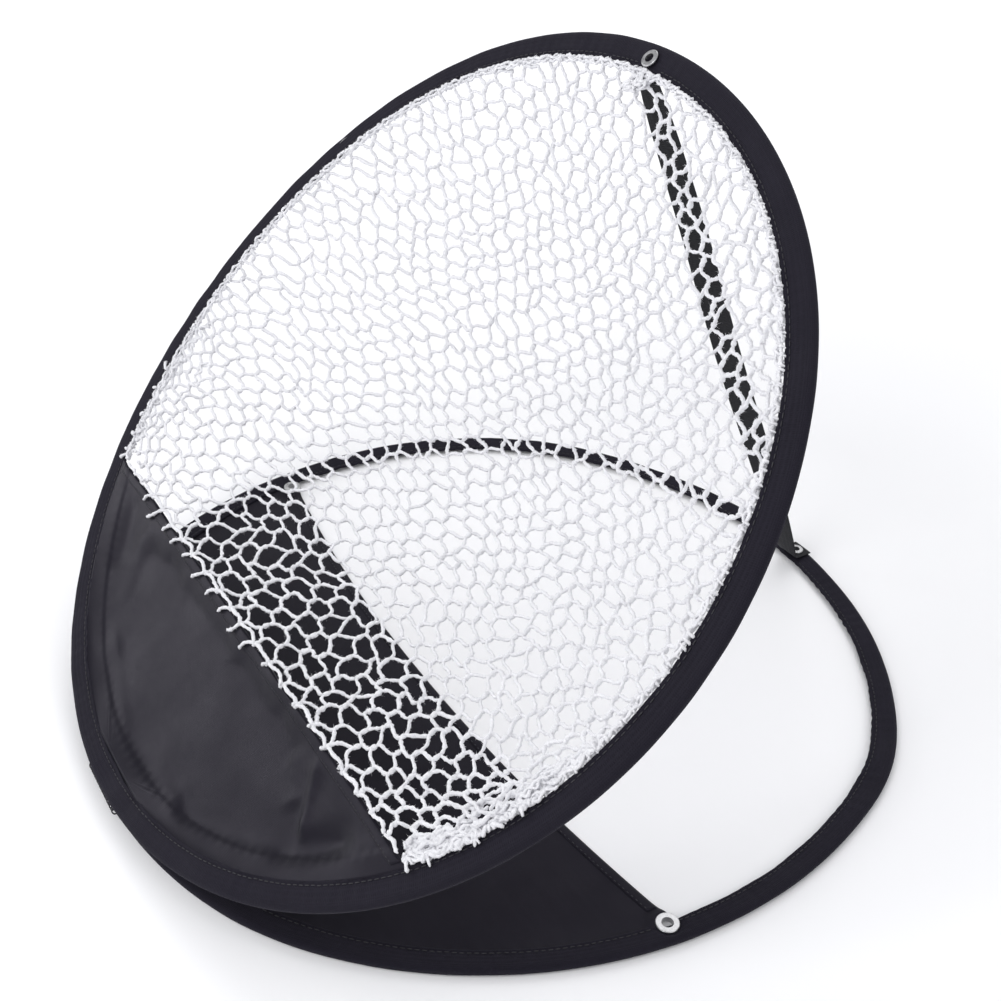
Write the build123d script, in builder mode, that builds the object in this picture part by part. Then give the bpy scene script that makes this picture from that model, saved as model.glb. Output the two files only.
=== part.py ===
from build123d import *
import math
import os

# Folding hoop net: a fabric-covered base hoop lies on the ground, and a bent target hoop
# with a net pouch is hinged to its front edge and held open by a strap.
# Millimetres and degrees. Z is up with the ground at 0, +Y is the back, and the base
# hoop's centre is on the Z axis. The fold axis runs along X at the front.

os.makedirs("parts", exist_ok=True)

# ================================================================ driving dimensions
opening_angle = 45.6        # between the two hoops with the strap taut

# fabric sleeves round both hoops
hoop_r = 255.0              # outer radius
base_sleeve_w = 14.8        # radial widths
target_sleeve_w = 15.4
sleeve_t = 6.0
sleeve_edge_r = 1.2         # rounding of the sleeve edges
target_bow = 16.0           # how far the target hoop's sides stand behind its top and bottom

# flat spring bands and the ferrules that join their ends
wire_r0, wire_r1 = 251.4, 252.6     # inner and outer radius
wire_h = 3.2
wire_end_gap = 1.0
channel_gap = 0.3                   # room round the band inside the sleeve
ferrule_len = 16.0
ferrule_wall = 0.45
ferrule_gap = 0.05                  # between ferrule and band
bulge_gap_r, bulge_gap_h = 0.75, 0.7    # room in the sleeve where the ferrule sits
bulge_len = ferrule_len + 2
base_ferrule_angle = 118.0          # from the back, towards +X
target_ferrule_angle = -62.0        # from the top, towards +X

# fold
fold_gap = 0.6                      # from each sleeve's outer edge to the fold axis
hinge_y, hinge_z = -(hoop_r + fold_gap), 7.0
target_mid_w = 2.6                  # target mid-plane above the fold axis plane

# fabric panels
panel_edge_y = -47.5                # middle of the base panel's free edge
panel_edge_r = 1633.0               # radius of that edge, hollowed towards the front
panel_hem_x = 222.0                 # the edge's hem runs this far each side
panel_t = 1.0
panel_z0 = 2.5                      # underside
panel_gap = 0.15                    # between a panel and its sleeve or hem
hem_w = 6.0
hem_t = 2.6
hem_chamfer = 0.7
apron_edge = -134.5                 # free edge of the target apron, from the hoop centre
apron_t = 1.0

# eyelets
peg_x, peg_y = 234.8, -34.5
peg_bore_r, peg_barrel_r, peg_flange_r = 3.25, 3.8, 6.5
peg_foot_z = 1.0
strap_bore_r, strap_barrel_r, strap_flange_r = 2.6, 3.1, 5.1
strap_foot_z = 0.3
strap_foot_drop = 1.5               # top eyelet's foot behind the strap
strap_eyelet_r = 245.7              # radius at which the strap eyelets sit
rear_eyelet_angle = 5.5             # off the back, towards +X
hole_gap = 0.1                      # fabric hole round a barrel
washer_gap = 0.05                   # washer round a barrel
flange_gap = 0.05                   # under a flange

# strap
strap_w, strap_t = 16.0, 1.1
strap_gap = 0.1                     # between strap and sleeve
strap_tab_len = 14.0
top_bend_r = 238.0                  # along the target hoop's plane, from its centre
rear_bend_y = 237.4

# net
net_depth = 92.0                    # sag of the pouch behind the hoop's plane
net_falloff = 48.0                  # length over which it deepens from the apron
net_t = 1.6
net_rim_r = 236.7
border_r0, border_r1 = 236.9, 239.4
border_t = 2.4
border_edge_r = 0.7

# threads
stitch_r, stitch_loop_r = 0.35, 2.2     # hinge loops
stitch_hole_gap = 0.08
stitch_pitch = 7.0
thread_w = 0.6                      # panel stitches
thread_len = 3.0
base_thread_inset = 0.2             # below each face of the panel
target_thread_half_t = 0.3
seam_w, seam_len, seam_t = 0.7, 9.0, 0.45
seam_lift = 0.02                    # off the sleeve's face
seam_count = 96
seam_start = 1.9
base_seam_r, target_seam_r = 242.6, 242.2

# construction sizes, larger than the pieces they cut
clip_size = 600.0
bow_reach = 60.0                    # each way through the target plane
hoop_reach = 300.0                  # each way along the hoop's height
half_x = 268.0                      # each way along X

# ================================================================ derived places and frames
half_t = sleeve_t / 2
base_r0 = hoop_r - base_sleeve_w
target_r0 = hoop_r - target_sleeve_w
wire_mid_r = (wire_r0 + wire_r1) / 2
panel_top_z = panel_z0 + panel_t
edge_centre = (0, panel_edge_y + panel_edge_r)
peg_places = ((peg_x, peg_y), (-peg_x, peg_y))
rear_x = strap_eyelet_r * math.sin(math.radians(rear_eyelet_angle))
rear_y = strap_eyelet_r * math.cos(math.radians(rear_eyelet_angle))
rear_place = (rear_x, rear_y)
top_place = (0, strap_eyelet_r)
stitch_places = [
    Location((stitch_pitch * i, hinge_y, hinge_z), (0, 90, 0)) for i in range(-2, 3)
]

# Target frame: local x is X, y runs up the hoop, z (called w) points to the front and up.
cos_open = math.cos(math.radians(opening_angle))
sin_open = math.sin(math.radians(opening_angle))
centre_u = hoop_r + fold_gap        # hoop centre from the fold axis
target_origin = (
    0.0,
    hinge_y + centre_u * cos_open - target_mid_w * sin_open,
    hinge_z + centre_u * sin_open + target_mid_w * cos_open,
)
target_plane = Plane(origin=target_origin, x_dir=(1, 0, 0), z_dir=(0, -sin_open, cos_open))
# section across the hoop: local x is X, local y is w
bow_plane = Plane(origin=target_origin, x_dir=(1, 0, 0), z_dir=(0, -cos_open, -sin_open))
bow_r = hoop_r ** 2 / (2 * target_bow)      # radius the target hoop is bent to

strap_under_z = sleeve_t + strap_gap        # strap's tab on the base sleeve
strap_top_z = strap_under_z + strap_t
front_w = half_t                            # target sleeve's front face
back_w = -half_t - strap_gap - strap_t      # back of the strap's tab on the target sleeve


# ================================================================ sketch helpers
def ring(outer, inner):
    """Draw a ring in the open sketch."""
    Circle(outer)
    Circle(inner, mode=Mode.SUBTRACT)


def ferrule_window(angle, radial, length, mode=Mode.ADD):
    """Draw a rectangle across the band at a ferrule's angle."""
    with PolarLocations(wire_mid_r, 1, start_angle=90 - angle):
        Rectangle(radial, length, mode=mode)


def wire_ring(margin, angle, length):
    """Draw the band's ring grown by margin, cut to a length if one is given."""
    ring(wire_r1 + margin, wire_r0 - margin)
    if length:
        ferrule_window(angle, 8, length, Mode.INTERSECT)


def clip_above(y):
    """Remove everything above y from the open sketch."""
    with Locations((0, y + clip_size / 2)):
        Rectangle(clip_size, clip_size, mode=Mode.SUBTRACT)


def clip_below(y):
    """Remove everything below y from the open sketch."""
    with Locations((0, y - clip_size / 2)):
        Rectangle(clip_size, clip_size, mode=Mode.SUBTRACT)


def seam_stitches(radius):
    """Draw the ring of radial seam stitches."""
    with PolarLocations(radius, seam_count, start_angle=seam_start):
        Rectangle(seam_w, seam_len)


def clear_round(places, radius):
    """Remove a circle at each place from the open sketch."""
    with Locations(*places):
        Circle(radius, mode=Mode.SUBTRACT)


# ================================================================ bent-slab helpers
def bow(x, w):
    """Height of a surface w above the bent mid-surface, at x."""
    return math.sqrt((bow_r + w) ** 2 - x ** 2) - bow_r


def keep_between(low, high):
    """Trim the part being built to the slab between two heights about the bent mid-surface."""
    low_end, high_end = bow(half_x, low), bow(half_x, high)
    with BuildSketch(bow_plane) as section:
        with BuildLine():
            upper = ThreePointArc((-half_x, high_end), (0, high), (half_x, high_end))
            lower = ThreePointArc((half_x, low_end), (0, low), (-half_x, low_end))
            Line(upper @ 1, lower @ 0)
            Line(lower @ 1, upper @ 0)
        make_face()
    extrude(section.sketch, amount=hoop_reach, both=True, mode=Mode.INTERSECT)


# ================================================================ band and eyelet helpers
def flat_band(margin_r, margin_h, length=None):
    """The base hoop's band grown by the margins, whole or only at the ferrule."""
    with BuildPart() as band:
        with BuildSketch(Plane.XY.offset(half_t - wire_h / 2 - margin_h)):
            wire_ring(margin_r, base_ferrule_angle, length)
        extrude(amount=wire_h + 2 * margin_h)
    return band.part


def bent_band(margin_r, margin_h, length=None):
    """The target hoop's band grown by the margins, whole or only at the ferrule."""
    with BuildPart() as band:
        with BuildSketch(target_plane):
            wire_ring(margin_r, target_ferrule_angle, length)
        extrude(amount=bow_reach, both=True)
        keep_between(-wire_h / 2 - margin_h, wire_h / 2 + margin_h)
    return band.part


def ferrule_and_room(band):
    """The ferrule, and the two hollows its sleeve needs: the channel and its bulge."""
    outer = band(ferrule_gap + ferrule_wall, ferrule_gap + ferrule_wall, ferrule_len)
    bore = band(ferrule_gap, ferrule_gap)
    with BuildPart() as ferrule:
        add(outer)
        add(bore, mode=Mode.SUBTRACT)
    channel = band(channel_gap, channel_gap)
    bulge = band(bulge_gap_r, bulge_gap_h, bulge_len)
    return ferrule, channel, bulge


def eyelet(plane, places, bore_r, barrel_r, flange_r, flange_t, flange_round,
           lip_r, lip_t, face, foot, barrel_top):
    """Flange over the fabric's face, barrel, and rolled lip at the foot; heights from plane."""
    with BuildPart() as body:
        with BuildSketch(plane.offset(face + flange_gap)):
            with Locations(*places):
                Circle(flange_r)
        extrude(amount=flange_t)
        fillet(body.edges().group_by(Axis(plane.origin, plane.z_dir))[-1], flange_round)
        for radius, height in ((barrel_r, barrel_top - foot), (lip_r, lip_t)):
            with BuildSketch(plane.offset(foot)):
                with Locations(*places):
                    Circle(radius)
            extrude(amount=height)
        with BuildSketch(plane):
            with Locations(*places):
                Circle(bore_r)
        extrude(amount=12, both=True, mode=Mode.SUBTRACT)
    return body


def washer(plane, places, outer_r, barrel_r, height, thickness):
    """Flat washers round the eyelet barrels."""
    with BuildPart() as body:
        with BuildSketch(plane.offset(height)):
            with Locations(*places):
                ring(outer_r, barrel_r + washer_gap)
        extrude(amount=thickness)
    return body


strap_eyelet_size = dict(
    bore_r=strap_bore_r, barrel_r=strap_barrel_r, flange_r=strap_flange_r,
    flange_t=0.9, flange_round=0.5, lip_r=4.2, lip_t=0.55,
)
strap_washer_r = strap_flange_r - 0.1

# ================================================================ BASE (lies on the ground)
with BuildPart() as base_hoop_wire:
    with BuildSketch(Plane.XY.offset(half_t - wire_h / 2)):
        ring(wire_r1, wire_r0)
        ferrule_window(base_ferrule_angle, 6, wire_end_gap, Mode.SUBTRACT)
    extrude(amount=wire_h)

base_hoop_ferrule, base_channel, base_bulge = ferrule_and_room(flat_band)

with BuildPart() as base_sleeve:
    with BuildSketch(Plane.XY):
        ring(hoop_r, base_r0)
    extrude(amount=sleeve_t)
    fillet(base_sleeve.edges(), sleeve_edge_r)
    add(base_channel, mode=Mode.SUBTRACT)
    add(base_bulge, mode=Mode.SUBTRACT)
    # clearance for the peg eyelets, the rear eyelet's barrel and its lip and washer below
    for places, radius, depth in (
        (peg_places, peg_flange_r + 0.4, sleeve_t),
        ((rear_place,), strap_barrel_r + hole_gap, sleeve_t),
        ((rear_place,), strap_flange_r + 0.15, 1.8),
    ):
        with BuildSketch(Plane.XY):
            with Locations(*places):
                Circle(radius)
        extrude(amount=depth, mode=Mode.SUBTRACT)
    # holes for the hinge stitches
    with Locations(*stitch_places):
        Torus(stitch_loop_r, stitch_r + stitch_hole_gap, mode=Mode.SUBTRACT)

with BuildPart() as base_seam_threads:
    with BuildSketch(Plane.XY.offset(sleeve_t + seam_lift)):
        seam_stitches(base_seam_r)
        clear_round((rear_place,), 10)
        clear_round(peg_places, 9)
    extrude(amount=seam_t)

with BuildPart() as base_panel:
    with BuildSketch(Plane.XY.offset(panel_z0)):
        Circle(base_r0 - panel_gap)
        clear_round((edge_centre,), panel_edge_r)
        clip_above(0)
        # the corners end under the peg eyelets
        with Locations((peg_x + 6, peg_y + 10), (-peg_x - 6, peg_y + 10)):
            Rectangle(20, 20, mode=Mode.SUBTRACT)
        clear_round(peg_places, peg_barrel_r + hole_gap)
    extrude(amount=panel_t)
    # the hem takes the place of this strip
    with BuildSketch(Plane.XY.offset(panel_z0)):
        with Locations(edge_centre):
            Circle(panel_edge_r + hem_w + panel_gap)
        with Locations((0, panel_edge_y)):
            Rectangle(2 * panel_hem_x + 0.4, 80, mode=Mode.INTERSECT)
    extrude(amount=panel_t, mode=Mode.SUBTRACT)

with BuildPart() as base_panel_hem:
    with BuildSketch(Plane.XY.offset(panel_z0 + panel_t / 2 - hem_t / 2)):
        with Locations(edge_centre):
            ring(panel_edge_r + hem_w, panel_edge_r)
        with Locations((0, panel_edge_y)):
            Rectangle(2 * panel_hem_x, 80, mode=Mode.INTERSECT)
    extrude(amount=hem_t)
    chamfer(base_panel_hem.edges().filter_by(lambda e: e.length > 100), hem_chamfer)

with BuildPart() as base_panel_threads:
    # stitches that bridge the hem and the panel
    with BuildSketch(Plane.XY.offset(panel_z0 + base_thread_inset)):
        with Locations(edge_centre):
            with PolarLocations(panel_edge_r + hem_w, 49, start_angle=262.45,
                                angular_range=15.1, endpoint=True):
                Rectangle(thread_len, thread_w)
    extrude(amount=panel_t - 2 * base_thread_inset)
    # stitches that bridge the panel and the sleeve
    with BuildSketch(Plane.XY.offset(panel_z0 + base_thread_inset)):
        with PolarLocations(base_r0, 46, start_angle=193.0, angular_range=154.0, endpoint=True):
            Rectangle(thread_len, thread_w)
    extrude(amount=panel_t - 2 * base_thread_inset)

peg_eyelets = eyelet(
    Plane.XY, peg_places, bore_r=peg_bore_r, barrel_r=peg_barrel_r, flange_r=peg_flange_r,
    flange_t=1.0, flange_round=0.6, lip_r=5.0, lip_t=0.6,
    face=panel_top_z, foot=peg_foot_z, barrel_top=panel_top_z + 0.1,
)
peg_eyelet_washers = washer(
    Plane.XY, peg_places, peg_flange_r - 0.2, peg_barrel_r, height=1.65, thickness=0.8
)

rear_strap_eyelet = eyelet(
    Plane.XY, (rear_place,), **strap_eyelet_size,
    face=strap_top_z, foot=strap_foot_z, barrel_top=strap_top_z + strap_foot_z,
)
rear_strap_washer = washer(
    Plane.XY, (rear_place,), strap_washer_r, strap_barrel_r, height=0.9, thickness=0.7
)

with BuildPart() as hinge_stitches:
    # closed thread loops round the fold axis, through both sleeves
    with Locations(*stitch_places):
        Torus(stitch_loop_r, stitch_r)

# ================================================================ TARGET (raised hoop)
# Most pieces are drawn flat in the hoop's plane, extruded, and kept between two bent surfaces.
full_bent_band = bent_band(0, 0)
with BuildPart() as target_hoop_wire:
    add(full_bent_band)
    # gap between the band's two ends, inside the ferrule
    with BuildSketch(target_plane):
        ferrule_window(target_ferrule_angle, 6, wire_end_gap)
    extrude(amount=bow_reach, both=True, mode=Mode.SUBTRACT)

target_hoop_ferrule, target_channel, target_bulge = ferrule_and_room(bent_band)

with BuildPart() as target_sleeve:
    with BuildSketch(target_plane):
        ring(hoop_r, target_r0)
    extrude(amount=bow_reach, both=True)
    keep_between(-half_t, half_t)
    fillet(target_sleeve.edges().filter_by(lambda e: e.length > 200), sleeve_edge_r)
    add(target_channel, mode=Mode.SUBTRACT)
    add(target_bulge, mode=Mode.SUBTRACT)
    # hole for the top strap eyelet
    with BuildSketch(target_plane):
        with Locations(top_place):
            Circle(strap_barrel_r + hole_gap)
    extrude(amount=10, both=True, mode=Mode.SUBTRACT)
    # holes for the hinge stitches
    with Locations(*stitch_places):
        Torus(stitch_loop_r, stitch_r + stitch_hole_gap, mode=Mode.SUBTRACT)

with BuildPart() as target_seam_threads:
    with BuildSketch(target_plane):
        seam_stitches(target_seam_r)
        clear_round((top_place,), 9)
    extrude(amount=bow_reach, both=True)
    keep_between(half_t + seam_lift, half_t + seam_lift + seam_t)

with BuildPart() as target_apron:
    with BuildSketch(target_plane):
        Circle(target_r0 - panel_gap)
        clip_above(apron_edge - hem_w - panel_gap)
    extrude(amount=bow_reach, both=True)
    keep_between(-apron_t / 2, apron_t / 2)

with BuildPart() as target_apron_hem:
    with BuildSketch(target_plane):
        Circle(target_r0 - panel_gap)
        with Locations((0, apron_edge - hem_w / 2)):
            Rectangle(clip_size, hem_w, mode=Mode.INTERSECT)
    extrude(amount=bow_reach, both=True)
    keep_between(-hem_t / 2, hem_t / 2)
    chamfer(target_apron_hem.edges().filter_by(lambda e: e.length > 100), hem_chamfer)

with BuildPart() as target_apron_threads:
    with BuildSketch(target_plane):
        # bridging the hem and the apron
        with Locations((0, apron_edge - hem_w)):
            with GridLocations(9.0, 1, 41, 1):
                Rectangle(thread_w, thread_len)
        # bridging the apron and the sleeve
        with PolarLocations(target_r0, 31, start_angle=218.0, angular_range=104.0, endpoint=True):
            Rectangle(thread_len, thread_w)
    extrude(amount=bow_reach, both=True)
    keep_between(-target_thread_half_t, target_thread_half_t)

with BuildPart() as net_border_cord:
    with BuildSketch(target_plane):
        ring(border_r1, border_r0)
        clip_below(apron_edge + 0.2)
    extrude(amount=bow_reach, both=True)
    keep_between(-border_t / 2, border_t / 2)
    fillet(net_border_cord.edges().filter_by(lambda e: e.length > 200), border_edge_r)


def net_surface(x, y):
    """Height of the net's back face: no sag at the rim and the apron, deepest low in the pouch."""
    rim = 1 - (x * x + y * y) / net_rim_r ** 2
    low = 1 - math.exp(-(y - apron_edge) / net_falloff)
    return bow(x, 0) - net_depth * rim * low - net_t / 2


# 16 by 16 points, reaching past the rim all round
net_xs = [-240 + 32 * i for i in range(16)]
net_ys = [-150 + 26 * j for j in range(16)]
net_points = [
    [target_plane.from_local_coords(Vector(x, y, net_surface(x, y))) for y in net_ys]
    for x in net_xs
]
net_face = Face.make_surface_from_array_of_points(net_points)
net_slab = Solid.extrude(net_face, target_plane.z_dir * net_t)

with BuildPart() as net_pouch:
    with BuildSketch(target_plane):
        Circle(net_rim_r)
        clip_below(apron_edge + 0.3)
    extrude(amount=150, both=True)
    add(net_slab, mode=Mode.INTERSECT)

top_strap_eyelet = eyelet(
    target_plane, (top_place,), **strap_eyelet_size,
    face=front_w, foot=back_w - strap_foot_drop, barrel_top=front_w + 0.1,
)
top_strap_washer = washer(
    target_plane, (top_place,), strap_washer_r, strap_barrel_r,
    height=back_w - 0.85, thickness=0.75,
)

# ================================================================ STRAP between the hoops
top_bend = target_plane.from_local_coords(Vector(0, top_bend_r, back_w + strap_t / 2))
rear_bend = Vector(rear_x, rear_bend_y, strap_under_z + strap_t / 2)
run = rear_bend - top_bend
run_dir = run.normalized()
side = (Vector(1, 0, 0) - run_dir * run_dir.X).normalized()
strap_plane = Plane(origin=top_bend, x_dir=side, z_dir=run_dir)

with BuildPart() as opening_strap:
    with BuildSketch(strap_plane):
        Rectangle(strap_w, strap_t)
    extrude(amount=run.length)
    # tabs on the back of the target sleeve and on top of the base sleeve
    for plane, x, bend_y in (
        (target_plane.offset(back_w), 0, top_bend_r),
        (Plane.XY.offset(strap_under_z), rear_x, rear_bend_y),
    ):
        with BuildSketch(plane):
            with Locations((x, bend_y + strap_tab_len / 2)):
                Rectangle(strap_w, strap_tab_len)
        extrude(amount=strap_t)
    # rounded bends
    for bend in (top_bend, rear_bend):
        bend_start = bend - Vector(strap_w / 2, 0, 0)
        with BuildSketch(Plane(origin=bend_start, x_dir=(0, 1, 0), z_dir=(1, 0, 0))):
            Circle(strap_t / 2)
        extrude(amount=strap_w)
    # eyelet holes
    for plane, place in (
        (target_plane.offset(back_w - 1), top_place),
        (Plane.XY.offset(sleeve_t), rear_place),
    ):
        with BuildSketch(plane):
            with Locations(place):
                Circle(strap_barrel_r + hole_gap)
        extrude(amount=3, mode=Mode.SUBTRACT)

# ================================================================ save each piece
pieces = {
    "base_hoop_wire": base_hoop_wire,
    "base_hoop_ferrule": base_hoop_ferrule,
    "base_sleeve": base_sleeve,
    "base_seam_threads": base_seam_threads,
    "base_panel": base_panel,
    "base_panel_hem": base_panel_hem,
    "base_panel_threads": base_panel_threads,
    "peg_eyelets": peg_eyelets,
    "peg_eyelet_washers": peg_eyelet_washers,
    "rear_strap_eyelet": rear_strap_eyelet,
    "rear_strap_washer": rear_strap_washer,
    "hinge_stitches": hinge_stitches,
    "target_hoop_wire": target_hoop_wire,
    "target_hoop_ferrule": target_hoop_ferrule,
    "target_sleeve": target_sleeve,
    "target_seam_threads": target_seam_threads,
    "target_apron": target_apron,
    "target_apron_hem": target_apron_hem,
    "target_apron_threads": target_apron_threads,
    "net_pouch": net_pouch,
    "net_border_cord": net_border_cord,
    "top_strap_eyelet": top_strap_eyelet,
    "top_strap_washer": top_strap_washer,
    "opening_strap": opening_strap,
}
for name, piece in pieces.items():
    piece.part.label = name
    export_step(piece.part, f"parts/{name}.step")
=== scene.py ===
"""A folding net on two sprung hoops.

The base hoop lies flat on the floor, centred on the origin. The target hoop is hinged to it at
the front (-Y), stands open at 45.6 degrees and is tied to the back (+Y) of the base by a strap.
Each hoop is a cloth sleeve with a cloth panel near the hinge; the target hoop also carries a net.
Lengths are in mm until make_mesh turns them into metres.
"""
import bpy
import math
import numpy as np
from mathutils import Matrix, Vector


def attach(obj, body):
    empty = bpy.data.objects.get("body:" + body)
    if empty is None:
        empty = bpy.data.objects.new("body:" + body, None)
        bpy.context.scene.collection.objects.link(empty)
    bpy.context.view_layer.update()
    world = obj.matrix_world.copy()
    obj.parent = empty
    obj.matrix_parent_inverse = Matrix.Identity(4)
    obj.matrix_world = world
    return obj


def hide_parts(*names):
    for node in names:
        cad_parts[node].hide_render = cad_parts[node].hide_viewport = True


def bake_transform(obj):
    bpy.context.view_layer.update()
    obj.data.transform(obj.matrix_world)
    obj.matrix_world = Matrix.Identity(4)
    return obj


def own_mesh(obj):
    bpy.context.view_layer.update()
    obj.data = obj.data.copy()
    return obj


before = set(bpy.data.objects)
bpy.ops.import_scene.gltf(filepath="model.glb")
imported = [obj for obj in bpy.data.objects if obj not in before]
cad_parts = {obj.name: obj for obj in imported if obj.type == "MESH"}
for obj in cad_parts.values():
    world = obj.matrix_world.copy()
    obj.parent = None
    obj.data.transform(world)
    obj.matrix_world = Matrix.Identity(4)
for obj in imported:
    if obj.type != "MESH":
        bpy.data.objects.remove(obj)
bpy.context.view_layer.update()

# ------------------------------------------------------------------ main dimensions
MM = 0.001
TURN = 6.283                    # a full turn, as the random phases and the UV maps take it

OPEN_ANGLE = math.radians(45.6)
COS_OPEN, SIN_OPEN = math.cos(OPEN_ANGLE), math.sin(OPEN_ANGLE)
HINGE_Y, HINGE_Z = -255.6, 7.0
TARGET_RISE = 2.6               # target mid-surface above the hinge axis, along its normal
BASE_Z = 3.0                    # base mid-surface above the floor

# the target hoop's own frame: across, up the slope from the hinge, and out of its plane
ACROSS = np.array([1.0, 0.0, 0.0])
UPHILL = np.array([0.0, COS_OPEN, SIN_OPEN])
NORMAL = np.array([0.0, -SIN_OPEN, COS_OPEN])
CENTRE = np.array([0.0,
                   HINGE_Y - HINGE_Y * COS_OPEN - TARGET_RISE * SIN_OPEN,
                   HINGE_Z - HINGE_Y * SIN_OPEN + TARGET_RISE * COS_OPEN])

HOOP_R = 255.0
EDGE_DROP = 16.0                # how far the target hoop's sides bend back
BEND_R = HOOP_R ** 2 / (2 * EDGE_DROP)
BASE_INNER_R, TARGET_INNER_R = 240.2, 239.6
SEAM_INSET = 2.8                # seam line outside the sleeve's inner edge
SPRING_R = 252.0
SPRING_JOIN = 118.0             # degrees from the back
APRON_Y = -134.5                # free edge of the apron, in the target frame
PANEL_Y = -47.5                 # middle of the ground panel's hollowed free edge
PANEL_END_Y = -30.6             # the same edge at its two ends

REAR_ANGLE = math.radians(5.5)  # the base hoop's rear eyelet
REAR_X = 245.7 * math.sin(REAR_ANGLE)
PEG_X, PEG_Y = 234.8, -34.5     # peg eyelets, one on each side
PEG_ANGLE = math.atan2(PEG_X, PEG_Y)
PEG_BORE_R, PEG_FLANGE_R = 4.0, 6.9

CAMERA_AT = np.array([555.77, -349.17, 560.94])

# The base ring is not a true circle: (degrees clockwise from the back, mm outside the circle).
RING_SHAPE = [
    (-180, 0), (-168, 0), (-150, 1.5), (-120, 2), (-106, 0.3), (-98, 0), (-90, 0.8), (-80, 2.6),
    (-60, 4), (-48, 3.5), (-40, 1), (-30, -2.5), (-20, -3.8), (-12, -3.6), (0, -2), (5.5, -1.5),
    (12, -2), (18, -1), (24, 0), (30, 1), (36, 2.1), (42, 3.2), (48, 4.7), (54, 5.4), (60, 3.6),
    (66, 0.6), (72, -1.2), (78, -2.5), (84, -3.8), (90, -4.7), (96, -5.2), (108, -5.6),
    (120, -5.2), (126, -4.4), (132, -3.2), (138, -2), (144, -0.5), (150, 0.6), (158, 0.6),
    (168, 0), (180, 0)]


def smooth_ring_shape():
    """The ring's shape at every degree, blurred over a few degrees."""
    degrees = np.arange(-180, 180)
    raw = np.interp(degrees, *zip(*RING_SHAPE))
    blur = np.exp(-(np.arange(-9, 10) / 3.5) ** 2)
    blur /= blur.sum()
    return degrees, np.convolve(np.concatenate([raw[-9:], raw, raw[:9]]), blur, "valid")


RING_DEGREES, RING_OFFSETS = smooth_ring_shape()


# ------------------------------------------------------------------ placing points
def ring_shift(x, y):
    """Move points of a true circle onto the base ring's real shape."""
    radius = np.maximum(np.hypot(x, y), 1.0)
    degrees = np.degrees(np.arctan2(x, y))
    offset = np.interp(degrees, RING_DEGREES, RING_OFFSETS, period=360)
    offset = offset * np.clip(radius / 248, 0, 1) ** 4
    return x * (1 + offset / radius), y * (1 + offset / radius)


def unshift(x, y):
    """Where a point that must land on (x, y) sits before ring_shift."""
    from_x, from_y = x, y
    for _ in range(6):
        got_x, got_y = ring_shift(np.float64(from_x), np.float64(from_y))
        from_x, from_y = from_x + x - got_x, from_y + y - got_y
    return float(from_x), float(from_y)


def bow(x):
    """Height of the bent target mid-surface at x."""
    return np.sqrt(np.maximum(BEND_R ** 2 - np.asarray(x, float) ** 2, 1.0)) - BEND_R


def same_shape(*values):
    return np.broadcast_arrays(*(np.asarray(value, float) for value in values))


def flat_target(x, y, height):
    """Target hoop coordinates to the world; height is above the hoop's flat plane."""
    x, y, height = same_shape(x, y, height)
    return CENTRE + x[..., None] * ACROSS + y[..., None] * UPHILL + height[..., None] * NORMAL


def on_target(x, y, height):
    """As flat_target, with height above the bent mid-surface."""
    return flat_target(x, y, height + bow(x))


def on_base(x, y, height):
    x, y, height = same_shape(x, y, height)
    x, y = ring_shift(x, y)
    return np.stack([x, y, BASE_Z + height], -1)


# ------------------------------------------------------------------ shared maths
def turns(count):
    return np.linspace(0, 2 * math.pi, count, endpoint=False)


def signed_power(value, power):
    return np.sign(value) * np.abs(value) ** power


def smoothstep(value):
    value = np.clip(value, 0, 1)
    return value * value * (3 - 2 * value)


def soft_floor(value, limit, softness):
    """Ease values that come near or below the limit so that they stay above it."""
    eased = limit + softness * np.exp(np.minimum(value - limit - softness, 0) / softness)
    return np.where(value < limit + softness, eased, value)


def unit(vectors):
    return vectors / np.maximum(np.linalg.norm(vectors, axis=-1, keepdims=True), 1e-9)


def along(path):
    return unit(np.gradient(path, axis=0))


def distances(path):
    steps = np.linalg.norm(np.diff(path, axis=0), axis=1)
    return np.concatenate([[0], np.cumsum(steps)])


def wobble(angles, frequencies, seed):
    """A smooth closed random curve with unit-ish size."""
    draw = np.random.default_rng(seed)
    total = np.zeros_like(angles)
    for frequency in frequencies:
        total += draw.normal() * np.cos(frequency * angles + draw.uniform(0, TURN))
    return total / math.sqrt(len(frequencies))


def smooth_noise(x, y, scale, seed, octaves=2):
    """Smooth 2-D noise from sums of waves."""
    draw = np.random.default_rng(seed)
    total = np.zeros_like(x)
    for octave in range(octaves):
        for _ in range(7):
            angle = draw.uniform(0, TURN)
            rate = 2 * math.pi / (scale / (1.7 ** octave)) * draw.uniform(0.7, 1.3)
            phase = rate * (x * math.cos(angle) + y * math.sin(angle)) + draw.uniform(0, TURN)
            total += np.cos(phase) / (1.6 ** octave) / 3.0
    return total


# ------------------------------------------------------------------ meshes
def make_mesh(name, points, faces, uv=None, smooth=True):
    mesh = bpy.data.meshes.new(name)
    mesh.from_pydata((np.asarray(points, float) * MM).tolist(), [],
                     [tuple(int(i) for i in face) for face in faces])
    mesh.update()
    if uv is not None:
        layer = mesh.uv_layers.new(name="UVMap")
        corners = np.zeros(len(mesh.loops), np.int32)
        mesh.loops.foreach_get("vertex_index", corners)
        layer.data.foreach_set("uv", np.asarray(uv, np.float32)[corners].ravel())
    mesh.polygons.foreach_set("use_smooth", [smooth] * len(mesh.polygons))
    piece = bpy.data.objects.new(name, mesh)
    bpy.context.scene.collection.objects.link(piece)
    return piece


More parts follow.
